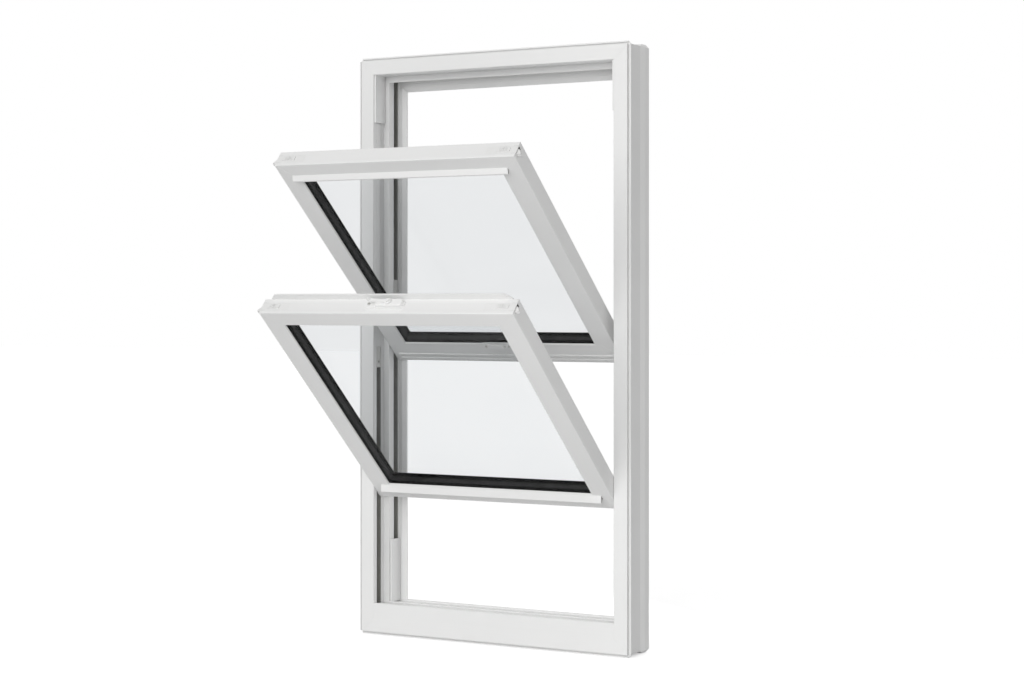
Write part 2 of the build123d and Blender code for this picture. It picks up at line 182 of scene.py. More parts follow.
def mixShader(tree, factor, first, second, output):
    node = tree.nodes.new("ShaderNodeMixShader")
    tree.links.new(factor, node.inputs[0])
    tree.links.new(first.outputs[0], node.inputs[1])
    tree.links.new(second.outputs[0], node.inputs[2])
    tree.links.new(node.outputs[0], tree.nodes[output].inputs["Surface"])


# backdrop: what the camera sees of it is white, what lights the window is dimmer
def seenRay(tree):
    # 1 for the rays that look at the backdrop, 0 for the rays that light the window
    path = tree.nodes.new("ShaderNodeLightPath")
    looks = path.outputs["Is Camera Ray"]
    for kind in ("Is Glossy Ray", "Is Transmission Ray"):
        looks = mathNode(tree, "MAXIMUM", looks, path.outputs[kind])
    # light that has already left a surface keeps the dimmer level behind the glass too
    direct = mathNode(tree, "LESS_THAN", path.outputs["Diffuse Depth"], 0.5)
    return mathNode(tree, "MULTIPLY", looks, direct)


worldSet = {"sky": 0.40, "white": (1, 1, 1, 1)}
world = bpy.data.worlds.new("studio")
scene.world = world
world.use_nodes = True
worldTree = world.node_tree
skyLight = worldTree.nodes["Background"]
skyLight.inputs["Color"].default_value = worldSet["white"]
skyLight.inputs["Strength"].default_value = worldSet["sky"]
skyWhite = worldTree.nodes.new("ShaderNodeBackground")
skyWhite.inputs["Color"].default_value = worldSet["white"]
mixShader(worldTree, seenRay(worldTree), skyLight, skyWhite, "World Output")

floorSet = {
    "size": 40,
    "colour": (0.68, 0.68, 0.68, 1),        # where it lights the window
    "shadowColour": (0.95, 0.95, 0.95, 1),  # where it is seen, shadows included
    "lift": 0.462,                          # brings the seen floor up to white
}
bpy.ops.object.select_all(action="DESELECT")
bpy.ops.mesh.primitive_plane_add(size=floorSet["size"], location=(0, 0, 0))
floor = bpy.context.object
floor.name = "floor"
floorMaterial = bpy.data.materials.new("floorPaper")
floorMaterial.use_nodes = True
floorTree = floorMaterial.node_tree
floorPlain = floorTree.nodes["Principled BSDF"]
floorPlain.inputs["Base Color"].default_value = floorSet["colour"]
floorPlain.inputs["Roughness"].default_value = 1.0
floorPlain.inputs["Specular IOR Level"].default_value = 0.0
floorShade = floorTree.nodes.new("ShaderNodeBsdfDiffuse")
floorShade.inputs["Color"].default_value = floorSet["shadowColour"]
floorGlow = floorTree.nodes.new("ShaderNodeEmission")
floorGlow.inputs["Strength"].default_value = floorSet["lift"]
floorSeen = floorTree.nodes.new("ShaderNodeAddShader")
floorTree.links.new(floorShade.outputs[0], floorSeen.inputs[0])
floorTree.links.new(floorGlow.outputs[0], floorSeen.inputs[1])
mixShader(floorTree, seenRay(floorTree), floorPlain, floorSeen, "Material Output")
floor.data.materials.append(floorMaterial)
print("camera, lamps and floor ready")


# node groups that several finishes share
def newGroup(name, inputs, outputs):
    group = bpy.data.node_groups.new(name, "ShaderNodeTree")
    for label, kind, start in inputs:
        socket = group.interface.new_socket(name=label, in_out="INPUT", socket_type="NodeSocket" + kind)
        if start is not None:
            socket.default_value = start
    for label, kind in outputs:
        group.interface.new_socket(name=label, in_out="OUTPUT", socket_type="NodeSocket" + kind)
    return group, group.nodes.new("NodeGroupInput").outputs, group.nodes.new("NodeGroupOutput").inputs


# extruded vinyl: clouds, die lines along the length and a fine grain
skinSet = {
    "cloud": {"scale": 7.0, "detail": 3, "width": 0.25},
    "lines": {"scale": 1.0, "detail": 2, "width": 0.3},
    "grain": {"scale": 1400.0, "detail": 2},
    "cloudShade": 0.35, "lineShade": 0.2,
    "cloudRough": 0.10, "lineRough": 0.08,
    "lineHeight": 0.6, "grainHeight": 0.4,
}
extrusionSkin, skinIn, skinOut = newGroup(
    "extrusionSkin",
    [("Vector", "Vector", None), ("Stretch", "Vector", (300, 300, 3)),
     ("Colour", "Color", (0.83, 0.83, 0.83, 1)), ("Shade", "Color", (0.78, 0.78, 0.77, 1)),
     ("Roughness", "Float", 0.4)],
    [("Colour", "Color"), ("Roughness", "Float"), ("Height", "Float")],
)
cloud = patches(extrusionSkin, skinIn["Vector"], skinSet["cloud"])
stretched = extrusionSkin.nodes.new("ShaderNodeVectorMath")
stretched.operation = "MULTIPLY"
extrusionSkin.links.new(skinIn["Vector"], stretched.inputs[0])
extrusionSkin.links.new(skinIn["Stretch"], stretched.inputs[1])
dieLines = patches(extrusionSkin, stretched.outputs[0], skinSet["lines"])
grain = noiseNode(extrusionSkin, skinIn["Vector"], skinSet["grain"]["scale"], skinSet["grain"]["detail"])
shadeMask = weighted(extrusionSkin, cloud, skinSet["cloudShade"], dieLines, skinSet["lineShade"])
skinColour = mixNode(extrusionSkin, shadeMask, skinIn["Colour"], skinIn["Shade"])
skinRough = swayed(extrusionSkin, skinIn["Roughness"], cloud, skinSet["cloudRough"])
skinRough = swayed(extrusionSkin, skinRough, dieLines, skinSet["lineRough"])
skinHeight = weighted(extrusionSkin, dieLines, skinSet["lineHeight"], grain, skinSet["grainHeight"])
extrusionSkin.links.new(skinColour, skinOut["Colour"])
extrusionSkin.links.new(skinRough, skinOut["Roughness"])
extrusionSkin.links.new(skinHeight, skinOut["Height"])

# moulded or cast pieces: mottled colour, pitted grain
castSet = {
    "mottle": {"scale": 45.0, "detail": 3, "width": 0.25}, "mottleShade": 0.5,
    "pitDetail": 3, "pitRough": 0.2,
}
castSkin, castIn, castOut = newGroup(
    "castSkin",
    [("Vector", "Vector", None), ("Colour", "Color", (0.8, 0.8, 0.8, 1)),
     ("Shade", "Color", (0.7, 0.7, 0.7, 1)), ("Roughness", "Float", 0.4), ("Grain", "Float", 500.0)],
    [("Colour", "Color"), ("Roughness", "Float"), ("Height", "Float")],
)
mottle = patches(castSkin, castIn["Vector"], castSet["mottle"])
mottleMask = mathNode(castSkin, "MULTIPLY", mottle, castSet["mottleShade"])
pits = noiseNode(castSkin, castIn["Vector"], castIn["Grain"], castSet["pitDetail"])
castColour = mixNode(castSkin, mottleMask, castIn["Colour"], castIn["Shade"])
castRough = swayed(castSkin, castIn["Roughness"], pits, castSet["pitRough"])
castSkin.links.new(castColour, castOut["Colour"])
castSkin.links.new(castRough, castOut["Roughness"])
castSkin.links.new(pits, castOut["Height"])

# a little dust that lies on what faces up
dustSet = {"faces": 0.75, "drift": {"scale": 60.0, "detail": 4, "width": 0.2}}
dustFilm, dustIn, dustOut = newGroup(
    "dustFilm",
    [("Vector", "Vector", None), ("Colour", "Color", (0.8, 0.8, 0.8, 1)),
     ("Dust", "Color", (0.62, 0.60, 0.56, 1)), ("Amount", "Float", 0.1)],
    [("Colour", "Color"), ("Mask", "Float")],
)
facing = dustFilm.nodes.new("ShaderNodeNewGeometry").outputs["Normal"]
lying = dustFilm.nodes.new("ShaderNodeMapRange")
lying.inputs["From Min"].default_value = dustSet["faces"]
lying.inputs["From Max"].default_value = 1.0
dustFilm.links.new(splitVector(dustFilm, facing)["Z"], lying.inputs["Value"])
drift = patches(dustFilm, dustIn["Vector"], dustSet["drift"])
dustMask = timesAll(dustFilm, [lying.outputs[0], drift, dustIn["Amount"]])
dustFilm.links.new(mixNode(dustFilm, dustMask, dustIn["Colour"], dustIn["Dust"]), dustOut["Colour"])
dustFilm.links.new(dustMask, dustOut["Mask"])

# painted shade inside recesses, the balance slots on both jambs alike and the latch mouths: a darker
# grey where they lie in shade, made patchy by noise
recessShadeSet = {"recessShadeNoise": {"scale": 35.0, "detail": 4, "width": 0.3}, "recessNoiseShare": 0.15}
paintedRecessShade, slotIn, slotOut = newGroup(
    "paintedRecessShade",
    [("Vector", "Vector", None), ("From X", "Float", 0.27), ("To X", "Float", 0.29),
     ("From Y", "Float", -0.06), ("To Y", "Float", -0.04), ("From Z", "Float", -1.0)],
    [("Mask", "Float")],
)
slotAt = splitVector(paintedRecessShade, slotIn["Vector"])
offCentre = mathNode(paintedRecessShade, "ABSOLUTE", slotAt["X"], 0.0)
inSlot = timesAll(paintedRecessShade, [
    mathNode(paintedRecessShade, "GREATER_THAN", offCentre, slotIn["From X"]),
    mathNode(paintedRecessShade, "LESS_THAN", offCentre, slotIn["To X"]),
    mathNode(paintedRecessShade, "GREATER_THAN", slotAt["Y"], slotIn["From Y"]),
    mathNode(paintedRecessShade, "LESS_THAN", slotAt["Y"], slotIn["To Y"]),
    mathNode(paintedRecessShade, "GREATER_THAN", slotAt["Z"], slotIn["From Z"]),
])
recessShadeNoise = patches(paintedRecessShade, slotIn["Vector"], recessShadeSet["recessShadeNoise"])
recessShadeNoise = mathNode(paintedRecessShade, "MULTIPLY", recessShadeNoise, recessShadeSet["recessNoiseShare"])
recessShadeNoise = mathNode(paintedRecessShade, "ADD", recessShadeNoise, 1 - recessShadeSet["recessNoiseShare"])
paintedRecessShade.links.new(mathNode(paintedRecessShade, "MULTIPLY", inSlot, recessShadeNoise), slotOut["Mask"])

# painted shade that lies behind a finger lip, between the lip and the rail, made patchy by noise
lipSet = {"face": 0.1 * mm, "noiseScale": 80.0, "noiseDetail": 3, "noiseShare": 0.2}
lipShade, lipIn, lipOut = newGroup(
    "lipShade",
    [("Vector", "Vector", None), ("Half", "Float", 0.2), ("Root", "Float", 0.03),
     ("Tip", "Float", 0.02), ("Slope", "Float", 1.0)],
    [("Mask", "Float")],
)
lipAt = splitVector(lipShade, lipIn["Vector"])
lipFall = mathNode(lipShade, "MULTIPLY", lipAt["Y"], lipIn["Slope"])
behindLip = timesAll(lipShade, [
    mathNode(lipShade, "LESS_THAN", mathNode(lipShade, "ABSOLUTE", lipAt["X"], 0.0), lipIn["Half"]),
    mathNode(lipShade, "LESS_THAN", mathNode(lipShade, "SUBTRACT", lipAt["Z"], lipFall), lipIn["Root"]),
    mathNode(lipShade, "GREATER_THAN", lipAt["Z"], lipIn["Tip"]),
    mathNode(lipShade, "LESS_THAN", lipAt["Y"], lipSet["face"]),
])
patchyLipShade = noiseNode(lipShade, lipIn["Vector"], lipSet["noiseScale"], lipSet["noiseDetail"])
patchyLipShade = mathNode(lipShade, "MULTIPLY", patchyLipShade, lipSet["noiseShare"])
patchyLipShade = mathNode(lipShade, "ADD", patchyLipShade, 1 - lipSet["noiseShare"])
lipShade.links.new(mathNode(lipShade, "MULTIPLY", behindLip, patchyLipShade), lipOut["Mask"])
print("node groups ready")


# where each sash stands: its seat turns upright sash coordinates into window coordinates
sashSet = {
    "lower": {"tilt": math.radians(48.0), "place": 16.5 * mm, "height": 7.5 * mm, "width": 539 * mm,
              "stile": 42 * mm, "top": 35 * mm, "bottom": 31.5 * mm, "body": 548 * mm,
              "lip": {"Half": 247.7 * mm, "Root": 28.2 * mm, "Tip": 17.8 * mm, "Slope": 12 / 11}},
    "upper": {"tilt": math.radians(49.5), "place": 22.5 * mm, "height": 5 * mm, "width": 512 * mm,
              "stile": 42 * mm, "top": 43 * mm, "bottom": 30 * mm, "body": 548 * mm,
              "lip": {"Half": 230.2 * mm, "Root": 518.8 * mm, "Tip": 509.3 * mm, "Slope": 11 / 7}},
}
for sashName, setup in sashSet.items():
    low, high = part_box(sashName + "_left_pivot_bar")
    pivot = (low + high) / 2
    back = Matrix.Translation((0, -setup["place"], -setup["height"]))
    tilted = Matrix.Rotation(setup["tilt"], 4, "X")
    setup["seat"] = Matrix.Translation((0, pivot.y, pivot.z)) @ tilted @ back


# finishes
def startFinish(name, sockets):
    material = bpy.data.materials.new(name)
    material.use_nodes = True
    shader = material.node_tree.nodes["Principled BSDF"]
    for socket, value in sockets.items():
        shader.inputs[socket].default_value = value
    return material, material.node_tree, shader


def groupNode(tree, group, values):
    node = tree.nodes.new("ShaderNodeGroup")
    node.node_tree = group
    for socket, value in values.items():
        if hasattr(value, "is_output"):
            tree.links.new(value, node.inputs[socket])
        else:
            node.inputs[socket].default_value = value
    return node.outputs


def turnedCoords(tree, sash):
    # object coordinates, or the upright coordinates of a sash
    coords = tree.nodes.new("ShaderNodeTexCoord")
    mapping = tree.nodes.new("ShaderNodeMapping")
    if sash is not None:
        mapping.inputs["Location"].default_value = sash["seat"].inverted().to_translation()
        mapping.inputs["Rotation"].default_value = (-sash["tilt"], 0, 0)
    tree.links.new(coords.outputs["Object"], mapping.inputs["Vector"])
    return mapping.outputs[0]


reliefSet = {"reach": 0.2 * mm, "samples": 4}


def roundedNormal(tree, shader, height, strength, radius):
    # softened edges and a fine relief
    bump = tree.nodes.new("ShaderNodeBump")
    bump.inputs["Strength"].default_value = strength
    bump.inputs["Distance"].default_value = reliefSet["reach"]
    tree.links.new(height, bump.inputs["Height"])
    if radius:
        edge = tree.nodes.new("ShaderNodeBevel")
        edge.samples = reliefSet["samples"]
        edge.inputs["Radius"].default_value = radius
        tree.links.new(edge.outputs[0], bump.inputs["Normal"])
    tree.links.new(bump.outputs[0], shader.inputs["Normal"])


vinylSet = {"bend": 1.5, "relief": 0.12, "edge": 0.5 * mm, "shadeRough": 0.3}


def paintedShadeMask(tree, vector, setup):
    # painted shade in the slots and latch mouths and, on a rail, painted shade behind its finger lip
    mask = None
    for slot in setup["slots"]:
        one = groupNode(tree, paintedRecessShade, {
            "Vector": vector, "From X": slot["x"][0], "To X": slot["x"][1],
            "From Y": slot["y"][0], "To Y": slot["y"][1], "From Z": slot["fromZ"],
        })["Mask"]
        mask = one if mask is None else mathNode(tree, "MAXIMUM", mask, one)
    if "lip" in setup:
        behind = groupNode(tree, lipShade, {"Vector": vector, **setup["lip"]})["Mask"]
        mask = mathNode(tree, "MAXIMUM", mask, behind)
    return mask


def vinylFinish(name, setup):
    sockets = {"IOR": vinylSet["bend"], "Specular IOR Level": setup["gloss"]}
    material, tree, shader = startFinish(name, sockets)
    vector = turnedCoords(tree, setup["sash"])
    skin = groupNode(tree, extrusionSkin, {
        "Vector": vector, "Stretch": setup["stretch"], "Colour": setup["colour"],
        "Shade": setup["shade"], "Roughness": setup["rough"],
    })
    dust = groupNode(tree, dustFilm, {
        "Vector": vector, "Colour": skin["Colour"], "Amount": setup["dust"],
    })
    colour = dust["Colour"]
    roughness = mathNode(tree, "ADD", skin["Roughness"], dust["Mask"])
    if "slots" in setup:
        # painted shade: the masked slots, latch mouths and lip hollows take a darker colour and a
        # rougher finish
        mask = paintedShadeMask(tree, vector, setup)
        colour = mixNode(tree, mask, colour, plainColour(tree, setup["paintedShadeColour"]))
        shadeRough = mathNode(tree, "MULTIPLY", mask, vinylSet["shadeRough"])
        roughness = mathNode(tree, "ADD", roughness, shadeRough)
    tree.links.new(colour, shader.inputs["Base Color"])
    tree.links.new(roughness, shader.inputs["Roughness"])
    roundedNormal(tree, shader, skin["Height"], vinylSet["relief"], vinylSet["edge"])
    return material


def castFinish(name, setup):
    material, tree, shader = startFinish(name, setup["sockets"])
    skin = groupNode(tree, castSkin, {
        "Vector": turnedCoords(tree, None), "Colour": setup["colour"], "Shade": setup["shade"],
        "Roughness": setup["rough"], "Grain": setup["grain"],
    })
    tree.links.new(skin["Colour"], shader.inputs["Base Color"])
    tree.links.new(skin["Roughness"], shader.inputs["Roughness"])
    roundedNormal(tree, shader, skin["Height"], setup["relief"], setup["edge"])
    return material


vinylColours = {
    "colour": (0.875, 0.875, 0.872, 1), "shade": (0.825, 0.827, 0.820, 1),
    "gloss": 0.45, "rough": 0.42, "dust": 0.10, "sash": None,
}
smooth = {"rough": 0.36}
alongX = {"stretch": (3, 300, 300)}
alongZ = {"stretch": (300, 300, 3)}
# painted shade in the balance slots of the jambs: a darker grey where the slots lie in shade
jambSlots = {
    "slots": [{"x": (271.2 * mm, 293.5 * mm), "y": (-67.2 * mm, -42.8 * mm), "fromZ": -1.0},
              {"x": (258.7 * mm, 281.0 * mm), "y": (-22.2 * mm, 2.2 * mm), "fromZ": -1.0}],
    "paintedShadeColour": (0.36, 0.36, 0.335, 1),
}
frameUpright = vinylFinish("frameVinylUpright", {**vinylColours, **jambSlots, **alongZ})
frameLevel = vinylFinish("frameVinylLevel", {**vinylColours, **alongX})
coverVinyl = vinylFinish("coverVinyl", {**vinylColours, **alongZ, **smooth, "gloss": 0.5})

# painted shade in the mouth of the tilt latch at each end of a top rail, measured in from the sash's
# side: a dark grey where the mouth lies in shade
mouthSet = {"from": 9.2 * mm, "to": 0.3 * mm, "y": (6.8 * mm, 25.2 * mm), "drop": 12 * mm,
            "colour": (0.16, 0.16, 0.155, 1)}
sashFinish = {}
for sashName, setup in sashSet.items():
    half = setup["width"] / 2
    mouth = {"x": (half - mouthSet["from"], half - mouthSet["to"]), "y": mouthSet["y"],
             "fromZ": setup["body"] - mouthSet["drop"]}
    plainVinyl = {**vinylColours, **alongX, "sash": setup}
    mouthVinyl = {**plainVinyl, "slots": [mouth], "paintedShadeColour": mouthSet["colour"]}
    sashFinish[sashName] = {
        "rail": vinylFinish(sashName + "RailVinyl", {**mouthVinyl, "lip": setup["lip"]}),
        "stile": vinylFinish(sashName + "StileVinyl", {**mouthVinyl, **alongZ}),
        "bead": vinylFinish(sashName + "BeadVinyl", {**plainVinyl, **smooth}),
    }

metal = {"Metallic": 1.0}
lockEnamel = castFinish("lockEnamel", {
    "sockets": {"Coat Weight": 0.5, "Coat Roughness": 0.12}, "colour": (0.92, 0.92, 0.915, 1),
    "shade": (0.88, 0.88, 0.87, 1), "rough": 0.32, "grain": 900.0, "relief": 0.2, "edge": 0.3 * mm,
})
latchPlastic = castFinish("latchPlastic", {
    "sockets": {}, "colour": (0.85, 0.85, 0.845, 1), "shade": (0.80, 0.80, 0.79, 1),
    "rough": 0.34, "grain": 1200.0, "relief": 0.15, "edge": 0.4 * mm,
})
shoePlastic = castFinish("shoePlastic", {
    "sockets": {}, "colour": (0.60, 0.60, 0.58, 1), "shade": (0.50, 0.50, 0.48, 1),
    "rough": 0.55, "grain": 700.0, "relief": 0.3, "edge": 0.4 * mm,
})
coilPlastic = castFinish("coilPlastic", {
    "sockets": {}, "colour": (0.72, 0.72, 0.70, 1), "shade": (0.62, 0.62, 0.60, 1),
    "rough": 0.5, "grain": 700.0, "relief": 0.3, "edge": 0.4 * mm,
})
pivotSteel = castFinish("pivotSteel", {
    "sockets": metal, "colour": (0.60, 0.60, 0.57, 1), "shade": (0.42, 0.42, 0.40, 1),
    "rough": 0.35, "grain": 300.0, "relief": 0.3, "edge": 0.3 * mm,
})
screwSteel = castFinish("screwSteel", {
    "sockets": metal, "colour": (0.55, 0.55, 0.53, 1), "shade": (0.38, 0.38, 0.36, 1),
    "rough": 0.33, "grain": 900.0, "relief": 0.2, "edge": 0.2 * mm,
})
springSteel = castFinish("springSteel", {
    "sockets": metal, "colour": (0.40, 0.40, 0.39, 1), "shade": (0.25, 0.25, 0.24, 1),
    "rough": 0.42, "grain": 200.0, "relief": 0.2, "edge": 0,
})
gasketRubber = castFinish("gasketRubber", {
    "sockets": {"Specular IOR Level": 0.25}, "colour": (0.006, 0.006, 0.006, 1),
    "shade": (0.012, 0.012, 0.012, 1), "rough": 0.6, "grain": 900.0, "relief": 0.3, "edge": 0,
})
pileGrey = castFinish("pileGrey", {
    "sockets": {"Specular IOR Level": 0.1}, "colour": (0.36, 0.36, 0.34, 1),
    "shade": (0.20, 0.20, 0.19, 1), "rough": 0.95, "grain": 2500.0, "relief": 0.9, "edge": 0,
})

# dark sealant on both sides of a lighter middle strip, a painted highlight along the spacer; each stop
# is a share of the depth and a grey
spacerSet = {
    "depth": 34 * mm, "sealant": ((0.31, 0.002), (0.66, 0.002)), "paintedHighlight": ((0.36, 0.075), (0.60, 0.065)),
    "wander": {"scale": 90.0, "detail": 2, "amount": 0.03}, "shade": (0.004, 0.004, 0.004, 1),
    "gloss": 0.2, "rough": 0.7, "grain": 1500.0, "relief": 0.5,
}


def spacerFinish(name, sash):
    material, tree, shader = startFinish(name, {"Specular IOR Level": spacerSet["gloss"]})
    vector = turnedCoords(tree, sash)
    share = mathNode(tree, "MULTIPLY", splitVector(tree, vector)["Y"], 1 / spacerSet["depth"])
    wander = spacerSet["wander"]
    noise = noiseNode(tree, vector, wander["scale"], wander["detail"])
    ramp = tree.nodes.new("ShaderNodeValToRGB")
    tree.links.new(swayed(tree, share, noise, wander["amount"]), ramp.inputs[0])
    stops = ramp.color_ramp.elements
    for stop, (position, level) in zip(stops, spacerSet["sealant"]):
        stop.position = position
        stop.color = (level, level, level, 1)
    # painted highlight: the lighter grey along the middle of the spacer
    for position, level in spacerSet["paintedHighlight"]:
        stops.new(position).color = (level, level, level, 1)
    skin = groupNode(tree, castSkin, {
        "Vector": vector, "Colour": ramp.outputs[0], "Shade": spacerSet["shade"],
        "Roughness": spacerSet["rough"], "Grain": spacerSet["grain"],
    })
    tree.links.new(skin["Colour"], shader.inputs["Base Color"])
    tree.links.new(skin["Roughness"], shader.inputs["Roughness"])
    roundedNormal(tree, shader, skin["Height"], spacerSet["relief"], 0)
    return material


glassSet = {
    "bend": 1.08, "colour": (0.908, 0.914, 0.919, 1), "hazeColour": (0.896, 0.904, 0.910, 1),
    "haze": {"scale": 6.0, "detail": 4, "width": 0.25}, "hazeRough": 0.006,
    "shadow": (0.64, 0.645, 0.645, 1),
}
clearGlass, glassTree, glassShader = startFinish("clearGlass", {
    "Transmission Weight": 1.0, "IOR": glassSet["bend"],
})
haze = patches(glassTree, turnedCoords(glassTree, None), glassSet["haze"])
clearTint = plainColour(glassTree, glassSet["colour"])
hazyTint = plainColour(glassTree, glassSet["hazeColour"])
glassTree.links.new(mixNode(glassTree, haze, clearTint, hazyTint), glassShader.inputs["Base Color"])
hazeRough = mathNode(glassTree, "MULTIPLY", haze, glassSet["hazeRough"])
glassTree.links.new(hazeRough, glassShader.inputs["Roughness"])
# light passes through instead of casting a full shadow
passing = glassTree.nodes.new("ShaderNodeBsdfTransparent")
passing.inputs["Color"].default_value = glassSet["shadow"]
shadowRay = glassTree.nodes.new("ShaderNodeLightPath").outputs["Is Shadow Ray"]
mixShader(glassTree, shadowRay, glassShader, passing, "Material Output")
print("finishes ready")


# finishes on the CAD nodes
nodeFinish = {
    "head": frameLevel, "sill": frameLevel, "left_jamb": frameUpright, "right_jamb": frameUpright,
    "lower_lock_base": lockEnamel, "lower_lock_lever": lockEnamel, "upper_lock_keeper": lockEnamel,
}
for side in sides:
    nodeFinish[side + "_room_slot_cover"] = coverVinyl
    for track in tracks:
        channel = side + "_" + track
        nodeFinish[channel + "_track_cover"] = coverVinyl
        nodeFinish[channel + "_shoe"] = shoePlastic
        nodeFinish[channel + "_coil"] = coilPlastic
for sashName, setup in sashSet.items():
    finish = sashFinish[sashName]
    nodeFinish[sashName + "_glazing_bead"] = finish["bead"]
    nodeFinish[sashName + "_glass_spacer"] = spacerFinish(sashName + "Spacer", setup)
    for piece in ("top_rail", "bottom_rail"):
        nodeFinish[sashName + "_" + piece] = finish["rail"]
    for piece in ("room_pane", "weather_pane"):
        nodeFinish[sashName + "_" + piece] = clearGlass
    for side in sides:
        nodeFinish[sashName + "_" + side + "_stile"] = finish["stile"]
        nodeFinish[sashName + "_" + side + "_pivot_bar"] = pivotSteel
        nodeFinish[sashName + "_" + side + "_tilt_latch"] = latchPlastic
for name, node in nodes.items():
    node.data.materials.clear()
    node.data.materials.append(nodeFinish[name])
print("CAD nodes finished")


# modelling helpers
modelSet = {
    "square": 0.9,              # above this a face counts as looking along an axis
    "sharp": math.radians(30),  # above this a bevel rounds an edge
}


def onlyThis(piece):
    bpy.ops.object.select_all(action="DESELECT")
    piece.select_set(True)
    bpy.context.view_layer.objects.active = piece


def bakePlace():
    bpy.ops.object.transform_apply(location=True, rotation=True, scale=True)


def editFaces(piece, test):
    # leaves the piece in edit mode with the faces that look the right way selected
    bpy.ops.object.mode_set(mode="EDIT")
    bpy.ops.mesh.select_mode(type="FACE")
    bpy.ops.mesh.select_all(action="DESELECT")
    bpy.ops.object.mode_set(mode="OBJECT")
    for face in piece.data.polygons:
        face.select = test(face.normal) > modelSet["square"]
    bpy.ops.object.mode_set(mode="EDIT")


def editVertices(piece, place, reach):
    # leaves the piece in edit mode with the vertices near one y selected
    bpy.ops.object.mode_set(mode="OBJECT")
    for vertex in piece.data.vertices:
        vertex.select = abs(vertex.co.y - place) < reach
    bpy.ops.object.mode_set(mode="EDIT")


def addBox(size, place):
    bpy.ops.object.select_all(action="DESELECT")
    bpy.ops.mesh.primitive_cube_add(size=1, location=place)
    piece = bpy.context.object
    piece.scale = size
    bakePlace()
    return piece


def bevelAll(piece, width, segments):
    onlyThis(piece)
    modifier = piece.modifiers.new("bevel", "BEVEL")
    modifier.width = width
    modifier.segments = segments
    modifier.limit_method = "ANGLE"
    modifier.angle_limit = modelSet["sharp"]
    bpy.ops.object.modifier_apply(modifier=modifier.name)


def copyPiece(piece):
    twin = piece.copy()
    twin.data = piece.data.copy()
    scene.collection.objects.link(twin)
    return twin


def joinPieces(pieces):
    bpy.ops.object.select_all(action="DESELECT")
    for piece in pieces:
        piece.select_set(True)
    bpy.context.view_layer.objects.active = pieces[0]
    bpy.ops.object.join()
    return bpy.context.object


def channelWall(name, sign):
    # the x of the side of a channel piece that faces the opening
    low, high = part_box(name)
    return high.x if sign < 0 else low.x


def settle(piece, name, material, seat=None):
    # puts the piece's place into its mesh and fixes it to the window
    piece.name = name
    piece.data.name = name
    if seat is not None:
        piece.matrix_world = seat @ piece.matrix_world
    onlyThis(piece)
    bakePlace()
    piece.data.materials.clear()
    piece.data.materials.append(material)
    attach(piece, "root")


# rubber gasket between the bead and the outer pane
gasketSet = {"depth": 28.8 * mm, "thick": 2.6 * mm, "out": 5.4 * mm, "lap": 0.4 * mm, "round": 0.5 * mm}
for sashName, setup in sashSet.items():
    half = setup["width"] / 2 - setup["stile"] + gasketSet["out"]
    low = setup["bottom"] - gasketSet["out"]
    high = setup["body"] - setup["top"] + gasketSet["out"]
    middle = (0, gasketSet["depth"], (low + high) / 2)
    bpy.ops.object.select_all(action="DESELECT")
    bpy.ops.mesh.primitive_plane_add(size=1, location=middle, rotation=(math.radians(90), 0, 0))
    gasket = bpy.context.object
    gasket.scale = (2 * half, high - low, 1)
    bakePlace()
    bpy.ops.object.mode_set(mode="EDIT")
    bpy.ops.mesh.select_all(action="SELECT")
    bpy.ops.mesh.inset(thickness=gasketSet["out"] + gasketSet["lap"], depth=0)
    bpy.ops.mesh.delete(type="FACE")
    bpy.ops.mesh.select_all(action="SELECT")
    bpy.ops.mesh.extrude_region_move(TRANSFORM_OT_translate={"value": (0, gasketSet["thick"], 0)})
    bpy.ops.mesh.select_all(action="SELECT")
    bpy.ops.mesh.normals_make_consistent(inside=False)
    bpy.ops.object.mode_set(mode="OBJECT")
    bevelAll(gasket, gasketSet["round"], 2)
    settle(gasket, sashName + "_glazing_gasket", gasketRubber, setup["seat"])
print("gaskets fitted")


# pile strips in the grooves of the stiles, with a frayed top
pileSet = {"offset": 8 * mm, "base": (3.6 * mm, 1.6 * mm), "brush": 1.1 * mm, "rise": 4.2 * mm,
           "floor": 31.6 * mm, "end": 12 * mm, "cuts": 90, "fray": 0.35 * mm, "seed": 7,
           "pick": 0.1 * mm}
for sashName, setup in sashSet.items():
    for side, sign in sides.items():
        x = sign * (setup["width"] / 2 - pileSet["offset"])
        wide, thick = pileSet["base"]
        length = setup["body"] - 2 * pileSet["end"]
        strip = addBox((wide, thick, length), (x, pileSet["floor"] + thick / 2, setup["body"] / 2))
        editFaces(strip, lambda normal: normal.y)
        bpy.ops.mesh.inset(thickness=pileSet["brush"], depth=0)
        bpy.ops.mesh.extrude_region_move(TRANSFORM_OT_translate={"value": (0, pileSet["rise"], 0)})
        for cut in range(1, pileSet["cuts"]):
            z = pileSet["end"] + length * cut / pileSet["cuts"]
            bpy.ops.mesh.select_all(action="SELECT")
            bpy.ops.mesh.bisect(plane_co=(x, 0, z), plane_no=(0, 0, 1))
        bpy.ops.mesh.select_mode(type="VERT")
        editVertices(strip, pileSet["floor"] + thick + pileSet["rise"], pileSet["pick"])
        bpy.ops.transform.vertex_random(offset=pileSet["fray"], seed=pileSet["seed"] + sign)
        bpy.ops.object.mode_set(mode="OBJECT")
        settle(strip, sashName + "_" + side + "_pile_strip", pileGrey, setup["seat"])
print("pile strips fitted")


